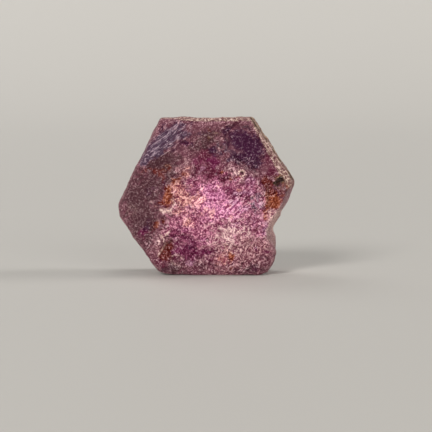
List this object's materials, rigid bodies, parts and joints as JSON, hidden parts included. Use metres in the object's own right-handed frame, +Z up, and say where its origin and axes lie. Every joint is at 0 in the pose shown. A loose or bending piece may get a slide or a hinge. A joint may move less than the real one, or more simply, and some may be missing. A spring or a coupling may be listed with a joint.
{
  "type": "raw ruby crystal",
  "caption": "Rough natural ruby crystal: a thick hexagonal tablet with ridged faces, blunt corners and a broken notch, standing on one prism face.",
  "frame": {"origin": "on the surface that the crystal stands on, below the middle of its bounding box", "axes": "+X to the right along the width of the hexagonal face, +Y from the better basal face (the front) to the back, +Z up"},
  "size_m": [0.0358, 0.0158, 0.032],
  "materials": {
    "ruby": "rough natural crystal skin: pink to plum red with rust stains, a fine grainy glitter and dull etched patches"
  },
  "bodies": {
    "root": {"ruby_crystal": "ruby"}
  },
  "joints": []
}
